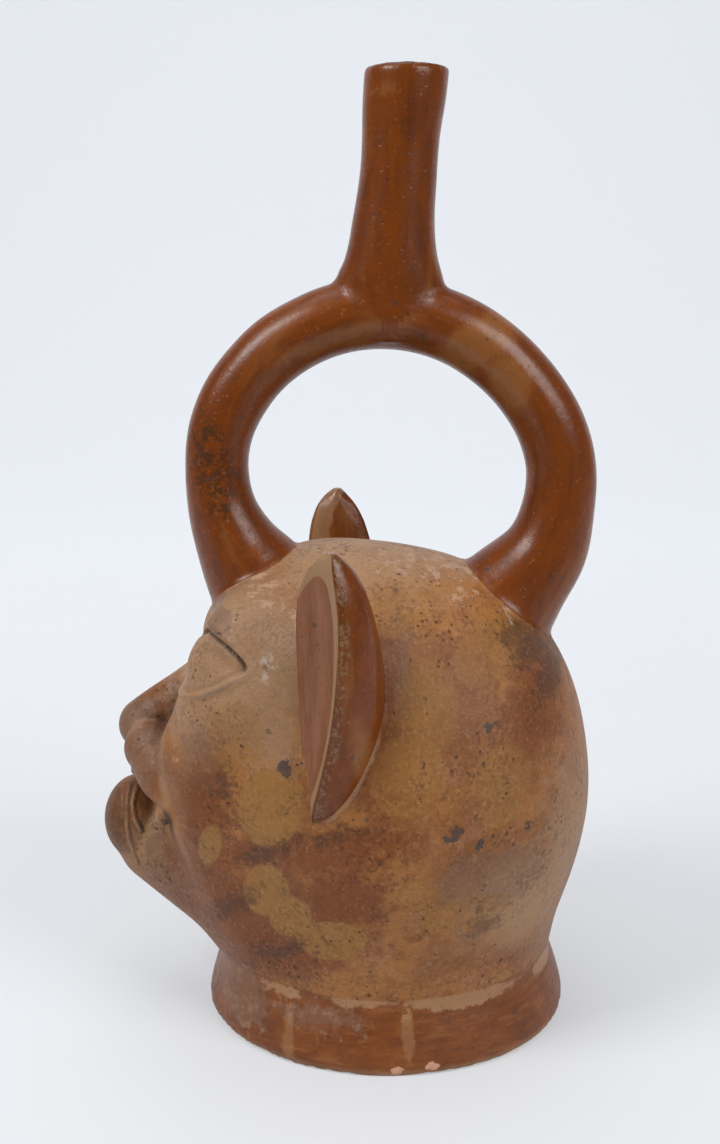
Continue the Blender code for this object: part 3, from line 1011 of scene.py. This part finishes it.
class Glaze:
    """A material's node tree, built from Python expressions."""

    def __init__(self, name):
        self.material = bpy.data.materials.new(name)
        self.material.use_nodes = True
        self.tree = self.material.node_tree
        self.shader = self.tree.nodes["Principled BSDF"]
        self.places = self.node("ShaderNodeTexCoord").outputs["Object"]

    def plug(self, socket, value):
        if isinstance(value, Wire):
            value = value.socket
        if isinstance(value, bpy.types.NodeSocket):
            self.tree.links.new(value, socket)
        else:
            socket.default_value = value

    def node(self, kind, settings=None, inputs=None):
        """Any node: its settings first, then values or links for its sockets."""
        made = self.tree.nodes.new(kind)
        for key, value in (settings or {}).items():
            setattr(made, key, value)
        for key, value in (inputs or {}).items():
            self.plug(made.inputs[key], value)
        return made

    def mask(self, name):
        return Wire(self, self.node("ShaderNodeAttribute", {"attribute_name": name}).outputs["Fac"])

    def stretched(self, place, stretch):
        settings = {"operation": "MULTIPLY"}
        return self.node("ShaderNodeVectorMath", settings, {0: place, 1: stretch}).outputs[0]

    def noise(self, size, detail=3.0, rough=0.55, at=None, seed=0.0):
        """Cloudy noise from 0 to 1, with clouds of about this size in metres."""
        inputs = {"Vector": at or self.places, "W": seed, "Scale": 1.0 / size}
        inputs.update({"Detail": detail, "Roughness": rough})
        node = self.node("ShaderNodeTexNoise", {"noise_dimensions": "4D"}, inputs)
        return Wire(self, node.outputs["Fac"])

    def cells(self, size):
        """Distance to scattered points, about this far apart."""
        inputs = {"Vector": self.places, "Scale": 1.0 / size}
        return Wire(self, self.node("ShaderNodeTexVoronoi", {}, inputs).outputs["Distance"])

    def blend(self, first, second, share):
        """From the first colour to the second."""
        inputs = {0: share, 6: opaque(first), 7: opaque(second)}
        return self.node("ShaderNodeMix", {"data_type": "RGBA"}, inputs).outputs[2]

    def bump(self, height, depth):
        inputs = {"Strength": 1.0, "Distance": depth, "Height": height}
        return self.node("ShaderNodeBump", {}, inputs).outputs["Normal"]

    def finish(self, **inputs):
        for key, value in inputs.items():
            self.plug(self.shader.inputs[key.replace("_", " ")], value)


def opaque(colour):
    """A colour setting with its alpha; a link stays as it is."""
    return colour if isinstance(colour, bpy.types.NodeSocket) else (*colour, 1.0)


# Patches of the clay, one over another: mask, tint, softness and raggedness of the edge in millimetres,
# how much of that is fine flecks, and strength
CLAY_LAYERS = (
    # painted shade, partly darker clay
    ("shade", "dark_clay_and_shade", 5.0, 6.0, 1.0, 0.75),
    # greyish bloom, partly a painted sheen
    ("bloom", "bloom", 7.0, 6.0, 1.0, 0.7),
    ("grey", "grey", 2.0, 3.0, 1.5, 0.6),
    ("rusty", "rust_and_shade", 5.0, 7.0, 1.2, 0.9),
    # painted shade low on the body
    ("under", "rust_and_shade", 6.0, 5.0, 0.8, 0.7),
    ("faint", "ochre", 1.2, 1.6, 0.8, 0.48),
    ("pale", "ochre", 0.5, 0.6, 0.8, 0.9),
    ("stain", "stain", 2.0, 3.5, 2.0, 0.6),
)


def fired_finish():
    """Slip, bare clay, stains and wear of the whole vessel, with painted shade and painted highlights."""
    tints = bpy.context.scene.vessel_finish
    glaze = Glaze("burnished_clay")
    place = glaze.node("ShaderNodeSeparateXYZ", {}, {0: glaze.places})
    backwards = Wire(glaze, place.outputs["Y"]) * 1000.0
    height = Wire(glaze, place.outputs["Z"]) * 1000.0
    cloud = glaze.noise(0.040, 4.0, 0.6)
    mottle = glaze.noise(0.012, 5.0, 0.65, seed=3.0)
    fleck = glaze.noise(0.0035, 4.0, 0.7, seed=5.0)
    grain = glaze.noise(0.0011, 3.0, 0.7, seed=7.0)
    dusky = glaze.noise(0.020, 3.0, 0.6, seed=11.0).between(0.40, 0.62)
    pits = (0.08 + dusky * 0.13 + (grain - 0.5) * 0.3 - glaze.cells(0.0032)).between(0.0, 0.08)
    strokes = glaze.node("ShaderNodeAttribute", {"attribute_name": "strokes"}).outputs["Vector"]
    streak = glaze.noise(0.0035, 4.0, 0.65, glaze.stretched(strokes, (0.12, 1.0, 1.0)), 2.0)
    drag = glaze.noise(0.012, 3.0, 0.6, glaze.stretched(strokes, (0.25, 1.0, 1.0)), 4.0)

    def fray(amount):
        """Unevenness of an edge, up to half this amount to either side."""
        return (fleck - 0.5) * amount

    def area(name, edge, ragged, fine=0.8):
        """A patch with an edge this soft and this ragged, in millimetres, and broken up by fine flecks."""
        torn = (mottle - 0.5) * (ragged * 2.0) + fray(ragged * fine * 2.0)
        return (glaze.mask(name) + torn + (grain - 0.5) * fine).between(-edge, edge)

    dark_cloud = (cloud * 0.6 + mottle * 0.4).between(0.42, 0.60)
    clay = glaze.blend(tints.clay, tints.dark_clay_and_shade, dark_cloud)
    clay = glaze.blend(clay, tints.clay_pink, (mottle * 0.5 + fleck * 0.5).between(0.45, 0.62) * 0.6)
    blotch = glaze.noise(0.007, 4.0, 0.65, seed=13.0)
    clay = glaze.blend(clay, tints.dark_clay_and_shade, blotch.between(0.46, 0.64) * 0.6)
    for name, tint, edge, ragged, fine, share in CLAY_LAYERS:
        clay = glaze.blend(clay, getattr(tints, tint), area(name, edge, ragged, fine) * share)
    clay = glaze.blend(clay, tints.stain, pits * 0.75)
    dirt = (grain * 0.6 + fleck * 0.4).between(0.47, 0.62) * (0.18 + dusky * 0.42)
    clay = glaze.blend(clay, tints.stain, dirt)
    clay = glaze.blend(clay, tints.dust_and_highlight, (0.45 - grain).between(0.0, 0.12) * 0.22)
    flaked = area("flake", 0.4, 2.5, 3.0) * (fleck * 0.7 + grain * 0.3).between(0.49, 0.55)
    clay = glaze.blend(clay, tints.dust_and_highlight, flaked * 0.75)
    clay = glaze.blend(clay, tints.grey, area("blot", 0.3, 0.5) * 0.75)
    # Painted shade in deep recesses
    painted_recess_shade = (glaze.mask("recess") + fray(0.2)).between(0.1, 0.7)
    clay = glaze.blend(clay, tints.stain, painted_recess_shade * 0.45)
    # Pale wear and a painted highlight on ridges
    ridge_wear_and_highlight = (glaze.mask("ridge") + fray(0.5)).between(0.1, 0.5) | area("wear", 1.2, 1.5)
    ridge_wear_and_highlight = ridge_wear_and_highlight * (grain * 0.5 + fleck * 0.5).between(0.35, 0.6)
    clay = glaze.blend(clay, tints.dust_and_highlight, ridge_wear_and_highlight * 0.5)

    dark_streaks = (streak * 0.7 + fleck * 0.3).between(0.38, 0.74)
    slip = glaze.blend(tints.slip, tints.slip_dark, dark_streaks)
    slip = glaze.blend(slip, tints.slip_tan, drag.between(0.52, 0.72) * 0.6)
    # Rubbed thin slip, and a painted sheen on the ear's back
    slip = glaze.blend(slip, tints.slip_tan, area("rubbed", 2.0, 3.0, 1.2) * 0.75)
    lip = (height - SPOUT_TOP + 1.0 + fray(3.0)).between(0.0, 1.0)
    slip = glaze.blend(slip, tints.stain, lip * 0.6)
    slip = glaze.blend(slip, tints.stain, (grain * 0.5 + fleck * 0.5).between(0.5, 0.68) * 0.4)
    slip = glaze.blend(slip, tints.dust_and_highlight, (0.40 - grain).between(0.0, 0.1) * 0.25)
    sooty = area("peppered", 3.0, 3.0) * (mottle * 0.2 + fleck * 0.4 + grain * 0.4).between(0.48, 0.53)
    slip = glaze.blend(slip, tints.stain, sooty * 0.85)
    on_slip = (glaze.mask("slip") + fray(1.6)).between(-0.25, 0.25)
    colour = glaze.blend(clay, slip, on_slip)

    foot = glaze.blend(tints.foot, tints.slip_dark, mottle.between(0.42, 0.72) * 0.7)
    rings = glaze.noise(0.0035, 4.0, 0.65, glaze.stretched(glaze.places, (0.4, 0.4, 1.8)), 15.0)
    foot = glaze.blend(foot, tints.stain, rings.between(0.5, 0.72) * 0.45)
    foot = glaze.blend(foot, tints.slip_tan, (0.5 - rings).between(0.0, 0.16) * 0.6)
    foot = glaze.blend(foot, tints.grey, area("foot_wash", 1.5, 3.0, 2.5) * 0.6)
    dusty = area("foot_wash", 0.5, 3.5, 4.0) * fleck.between(0.5, 0.65)
    foot = glaze.blend(foot, tints.dust_and_highlight, dusty * 0.25)
    pale_foot = 0.3 + height.between(15.0, 18.0) * 0.4
    foot = glaze.blend(foot, tints.cream, area("foot_pale", 0.5, 1.1, 1.8) * pale_foot)
    worn_edge = (2.2 - height + fleck * 2.0).between(0.5, 2.5)
    foot = glaze.blend(foot, tints.cream, worn_edge * 0.45)
    on_foot = (FOOT_SLIP - height + fray(1.6)).between(-0.4, 0.4)
    colour = glaze.blend(colour, foot, on_foot)

    from_rim = glaze.mask("ear_across")
    inner = glaze.blend(tints.ear, tints.ear_light, streak.between(0.38, 0.68))
    widening = (1.0 - height.between(80.0, 104.0)) * 2.2
    band = (from_rim + 3.5 + widening + fray(0.6)).between(-0.2, 0.2)
    band = band | (glaze.mask("ear_tip") + fray(1.5)).between(-0.3, 0.3)
    leaf = glaze.blend(inner, tints.band, band * 0.9)
    back = glaze.blend(slip, tints.slip_tan, (drag - 0.1).between(0.4, 0.6) * 0.5)
    behind_rim = (from_rim - 0.8 + fray(2.0)).between(-0.6, 0.4)
    behind_rim = behind_rim * (3.8 - from_rim + fray(5.0)).between(-0.4, 0.8)
    flecks = (grain * 0.7 + fleck * 0.3).between(0.46, 0.6)
    back = glaze.blend(back, tints.stain, behind_rim * 0.4)
    back = glaze.blend(back, tints.band, behind_rim * flecks * 0.6)
    bare = (6.5 - glaze.mask("ear_inner") + fray(4.0)).between(-0.4, 0.4)
    back = glaze.blend(back, tints.band, bare * (0.25 + grain * 0.6))
    on_back = from_rim.between(0.0, 0.3)
    leaf = glaze.blend(leaf, back, on_back)
    on_ear = (glaze.mask("ear") - 0.35 + fray(0.3)).between(-0.15, 0.15)
    colour = glaze.blend(colour, leaf, on_ear)
    seam = (1.3 - glaze.mask("ear_gap") + fray(1.6)).between(0.0, 0.5) * (1.0 - on_ear)
    low_back = (backwards - 0.5 + fray(3.0)).between(-7.0, -3.0)
    low_back = low_back * (110.0 - height).between(0.0, 8.0)
    colour = glaze.blend(colour, tints.dust_and_highlight, seam * low_back * 0.45)

    soot = area("spot", 0.2, 1.6, 2.2)
    colour = glaze.blend(colour, tints.soot, soot * (0.6 + fleck * 0.4))
    specks = (0.15 + (grain - 0.5) * 0.3 - glaze.cells(0.0075)).between(0.0, 0.06)
    specks = specks * mottle.between(0.50, 0.56)
    colour = glaze.blend(colour, tints.soot, specks * 0.5)
    flecked = (grain * 0.4 + fleck * 0.6).between(0.46, 0.52)
    colour = glaze.blend(colour, tints.chalk, area("scuff", 0.8, 1.5, 2.0) * flecked * 0.55)
    colour = glaze.blend(colour, tints.chip, area("chip", 0.2, 0.7, 1.0) * 0.8)
    # Painted shade and dirt in the creases
    colour = glaze.blend(colour, tints.stain, glaze.mask("crease").between(0.1, 0.8) * 0.7)

    glossy = on_slip | (on_ear * on_back)
    half_gloss = on_foot * 0.5
    rough = 0.48 + (fleck * 0.6 + grain * 0.4 - 0.5) * 0.4
    rough = rough - glossy * (0.27 - streak * 0.14) - half_gloss * 0.15
    uneven = fleck * 1.3 + grain * 0.7 - pits * 0.8 - specks * 0.6
    relief = uneven * (1.0 - glossy * 0.75) + streak * 0.25
    glaze.finish(Base_Color=colour, Roughness=rough, Normal=glaze.bump(relief, 0.0003))
    glaze.shader.inputs["Specular IOR Level"].default_value = 0.32
    return glaze.material


# Settings


def colour_property(name, description, default):
    settings = {"subtype": "COLOR", "min": 0.0, "max": 1.0}
    return FloatVectorProperty(name=name, description=description, default=default, **settings)


def length_property(name, description, default):
    settings = {"unit": "LENGTH", "precision": 5}
    return FloatProperty(name=name, description=description, default=default, **settings)


class VesselForm(bpy.types.PropertyGroup):
    """Sizes of the clay"""

    grain: length_property("Grain", "Spacing of the surface's points", 1.75 * MM)
    waver: length_property("Waver", "Unevenness of the hand-built wall", 0.18 * MM)
    chamber_wall: length_property("Body wall", "Thickness of the head's wall", 6.0 * MM)
    tube_wall: length_property("Tube wall", "Thickness of the stirrup's wall", 4.5 * MM)
    rim_wall: length_property("Lip wall", "Thickness of the spout at its lip", 3.6 * MM)
    foot_wall: length_property("Foot wall", "Width of the ring it stands on", 7.5 * MM)
    recess_depth: length_property("Foot hollow", "Depth of the hollow below", 13.0 * MM)


class VesselFinish(bpy.types.PropertyGroup):
    """Colours of clay and slip"""

    clay: colour_property("Clay", "Bare burnished clay", (0.315, 0.126, 0.031))
    # Also the colour of the painted shade on the face and the lower body
    dark_clay_and_shade: colour_property("Dark clay", "Clay in its darker clouds", (0.185, 0.061, 0.013))
    clay_pink: colour_property("Pink clay", "Clay in its pinkish mottling", (0.36, 0.16, 0.075))
    ochre: colour_property("Ochre", "Painted ovals", (0.285, 0.130, 0.029))
    cream: colour_property("Cream", "Cream slip of the ears' rims and the foot", (0.38, 0.21, 0.10))
    # Also the colour of the painted shade low on the body
    rust_and_shade: colour_property("Rust", "Red wash on cheeks and jaw", (0.172, 0.045, 0.007))
    band: colour_property("Band", "Greyish cream band of the ears", (0.30, 0.175, 0.09))
    # Partly a painted sheen, on the top of the head and low on the back of the body
    bloom: colour_property("Bloom", "Greyish bloom over the face and the top", (0.335, 0.202, 0.108))
    grey: colour_property("Grey", "Purplish bloom on the face", (0.185, 0.095, 0.056))
    # Also the colour of the painted shade in creases and deep recesses
    stain: colour_property("Stain", "Brown stains and dirt in the creases", (0.055, 0.021, 0.007))
    soot: colour_property("Soot", "Dark grey spots", (0.045, 0.034, 0.03))
    # Also the colour of the painted highlight along ridges
    dust_and_highlight: colour_property("Dust", "Pale wear on ridges and seams", (0.42, 0.26, 0.165))
    chalk: colour_property("Chalk", "White scuff marks", (0.50, 0.42, 0.36))
    chip: colour_property("Chip", "Fresh pink clay in the chips", (0.62, 0.33, 0.22))
    slip: colour_property("Slip", "Red-brown slip of stirrup and spout", (0.17, 0.037, 0.002))
    slip_dark: colour_property("Dark slip", "Slip in its darker streaks", (0.095, 0.02, 0.002))
    slip_tan: colour_property("Worn slip", "Slip rubbed thin", (0.25, 0.092, 0.024))
    foot: colour_property("Foot", "Red slip of the foot", (0.185, 0.05, 0.008))
    ear: colour_property("Ear", "Dark front of the ears", (0.185, 0.062, 0.022))
    ear_light: colour_property("Ear streaks", "Lighter streaks on the ears", (0.25, 0.10, 0.048))


class StudioSet(bpy.types.PropertyGroup):
    """Camera, light and floor"""

    floor: colour_property("Floor", "Colour of the paper near the camera", (0.40, 0.408, 0.425))
    backdrop: colour_property("Backdrop", "Colour of the paper behind", (0.485, 0.502, 0.526))
    glow: FloatProperty(name="Glow", description="Light that the paper itself gives", default=0.78, min=0.0)
    key: FloatProperty(name="Key light", description="Soft box on the left", default=10.5, unit="POWER")
    fill: FloatProperty(name="Fill light", description="Soft box on the right", default=12.0, unit="POWER")
    roof: FloatProperty(name="Roof light", description="Wide light overhead", default=20.0, unit="POWER")
    sky: FloatProperty(name="Sky", description="Strength of the light from all round", default=0.16, min=0.0)
    distance: length_property("Distance", "Camera to the middle", 0.4736)
    height: length_property("Height", "Camera above the floor", 0.2472)
    across: length_property("Across", "Camera in front of the foot", -0.0088)
    pitch: FloatProperty(
        name="Pitch",
        description="How far the camera looks down",
        default=math.radians(12.23),
        subtype="ANGLE",
    )


# Operators


class POTTERY_OT_vessel(bpy.types.Operator):
    """Model the vessel: body, stirrup and spout, ears and hollows, as one piece"""

    bl_idname = "pottery.vessel"
    bl_label = "Model vessel"

    def execute(self, context):
        vessel = clay_body()
        finish_mesh(vessel)
        paint_masks(vessel)
        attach(vessel, "root")
        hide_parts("vessel")
        return {"FINISHED"}


class POTTERY_OT_finish(bpy.types.Operator):
    """Give the vessel its slip, stains and wear"""

    bl_idname = "pottery.finish"
    bl_label = "Paint vessel"

    def execute(self, context):
        vessel = bpy.data.objects["fired_vessel"]
        vessel.data.materials.clear()
        vessel.data.materials.append(fired_finish())
        return {"FINISHED"}


# The paper in metres: its length before and behind the vessel, the radius of its bend and its height
FLOOR_NEAR = 0.4
FLOOR_FAR = 0.9
SWEEP_RADIUS = 0.5
BACK_HEIGHT = 1.6

# Lamps: name, size and place in metres; all look at the vessel's middle
LAMPS = (
    ("key", 0.5, (0.45, -0.78, 0.95)),
    ("fill", 0.7, (0.8, 0.95, 0.9)),
    ("roof", 1.8, (-0.1, -0.1, 2.4)),
)
LAMP_AIM = Vector((0, 0, 0.15))
SKY_COLOUR = (0.92, 0.95, 1.0, 1.0)

# The camera's focal length and the height of its picture, in pixels
FOCAL_PIXELS = 1500.0
PICTURE_HEIGHT = 1144.0


class POTTERY_OT_studio(bpy.types.Operator):
    """Set floor, lights and camera"""

    bl_idname = "pottery.studio"
    bl_label = "Set studio"

    def execute(self, context):
        self.backdrop(context.scene.studio_set)
        self.lights(context.scene)
        self.camera(context.scene)
        return {"FINISHED"}

    def backdrop(self, studio):
        bpy.ops.object.select_all(action="DESELECT")
        bpy.ops.mesh.primitive_grid_add(x_subdivisions=40, y_subdivisions=1, size=2.0)
        floor = bpy.context.object
        floor.name = floor.data.name = "floor"
        bend = SWEEP_RADIUS * math.pi / 2
        length = FLOOR_NEAR + FLOOR_FAR + bend + BACK_HEIGHT
        for vert in floor.data.vertices:
            run = (1 - vert.co.x) / 2 * length - FLOOR_NEAR
            turn = min(max((run - FLOOR_FAR) / SWEEP_RADIUS, 0.0), math.pi / 2)
            back = min(run, FLOOR_FAR) + SWEEP_RADIUS * math.sin(turn)
            rise = SWEEP_RADIUS * (1 - math.cos(turn)) + max(run - FLOOR_FAR - bend, 0.0)
            vert.co = (-back, vert.co.y * 2.5, rise)
        floor.data.update()
        bpy.ops.object.shade_smooth()
        glaze = Glaze("floor_paper")
        place = glaze.node("ShaderNodeSeparateXYZ", {}, {0: glaze.places})
        cloudy = (glaze.noise(0.08) - 0.5) * 0.1
        behind = (Wire(glaze, place.outputs["X"]) * -1.0 + cloudy).between(-0.1, 0.9)
        paper = glaze.blend(studio.floor, studio.backdrop, behind)
        glaze.finish(Base_Color=paper, Roughness=0.7, Emission_Color=paper, Emission_Strength=studio.glow)
        floor.data.materials.append(glaze.material)

    def lights(self, scene):
        studio = scene.studio_set
        for name, size, place in LAMPS:
            bpy.ops.object.light_add(type="AREA", location=place)
            lamp = bpy.context.object
            lamp.name = name
            lamp.data.energy = getattr(studio, name)
            lamp.data.size = size
            lamp.rotation_euler = (Vector(place) - LAMP_AIM).to_track_quat("Z", "Y").to_euler()
        world = bpy.data.worlds.new("soft_sky")
        scene.world = world
        world.use_nodes = True
        background = world.node_tree.nodes["Background"]
        background.inputs["Color"].default_value = SKY_COLOUR
        background.inputs["Strength"].default_value = studio.sky
        scene.view_settings.view_transform = "Standard"

    def camera(self, scene):
        studio = scene.studio_set
        bpy.ops.object.camera_add(location=(studio.distance, FOOT_Y + studio.across, studio.height))
        camera = bpy.context.object
        camera.name = "camera"
        camera.rotation_euler = (math.pi / 2 - studio.pitch, 0.0, math.pi / 2)
        camera.data.sensor_fit = "AUTO"
        camera.data.sensor_width = 36.0
        camera.data.lens = FOCAL_PIXELS / PICTURE_HEIGHT * 36.0
        scene.camera = camera


class POTTERY_PT_panel(bpy.types.Panel):
    """The vessel's settings and steps"""

    bl_label = "Stirrup spout vessel"
    bl_space_type = "VIEW_3D"
    bl_region_type = "UI"
    bl_category = "Pottery"

    def draw(self, context):
        scene = context.scene
        for group, steps in (
            (scene.vessel_form, ("pottery.vessel",)),
            (scene.vessel_finish, ("pottery.finish",)),
            (scene.studio_set, ("pottery.studio",)),
        ):
            box = self.layout.box()
            for name in group.__annotations__:
                box.prop(group, name)
            for step in steps:
                box.operator(step)


CLASSES = (
    VesselForm,
    VesselFinish,
    StudioSet,
    POTTERY_OT_vessel,
    POTTERY_OT_finish,
    POTTERY_OT_studio,
    POTTERY_PT_panel,
)


def register():
    for cls in CLASSES:
        bpy.utils.register_class(cls)
    bpy.types.Scene.vessel_form = PointerProperty(type=VesselForm)
    bpy.types.Scene.vessel_finish = PointerProperty(type=VesselFinish)
    bpy.types.Scene.studio_set = PointerProperty(type=StudioSet)


def unregister():
    del bpy.types.Scene.studio_set
    del bpy.types.Scene.vessel_finish
    del bpy.types.Scene.vessel_form
    for cls in reversed(CLASSES):
        bpy.utils.unregister_class(cls)


def main():
    register()
    bpy.ops.pottery.vessel()
    bpy.ops.pottery.finish()
    bpy.ops.pottery.studio()


if __name__ == "__main__":
    main()
